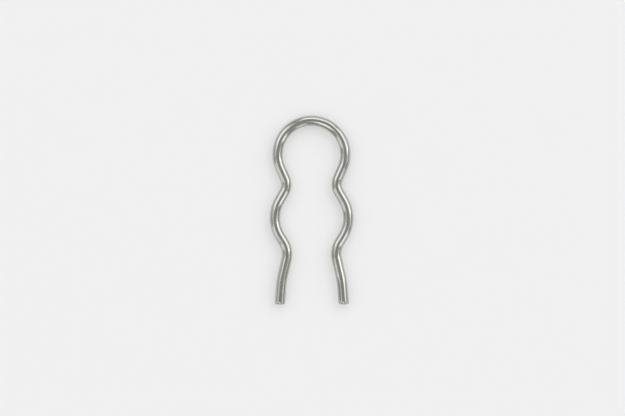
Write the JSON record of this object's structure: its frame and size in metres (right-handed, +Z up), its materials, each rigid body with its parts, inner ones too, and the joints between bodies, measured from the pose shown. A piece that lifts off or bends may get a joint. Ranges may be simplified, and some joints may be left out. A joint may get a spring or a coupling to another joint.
{
  "type": "u-clip",
  "caption": "Spring-wire U-clip: a round crown loop and mirrored wavy legs that snap over a shaft or pin and grip it, with straight sheared tips that lead it on.",
  "frame": {"origin": "middle of the clip's length and width, on the surface that it lies on", "axes": "+Y from the tips towards the crown loop, X across the legs, +Z up, square to the plane in which the wire is bent"},
  "size_m": [0.0076, 0.0174, 0.001],
  "materials": {
    "spring_wire": "bright drawn spring steel wire, bare"
  },
  "bodies": {
    "root": {"u_clip": "spring_wire"}
  },
  "joints": []
}
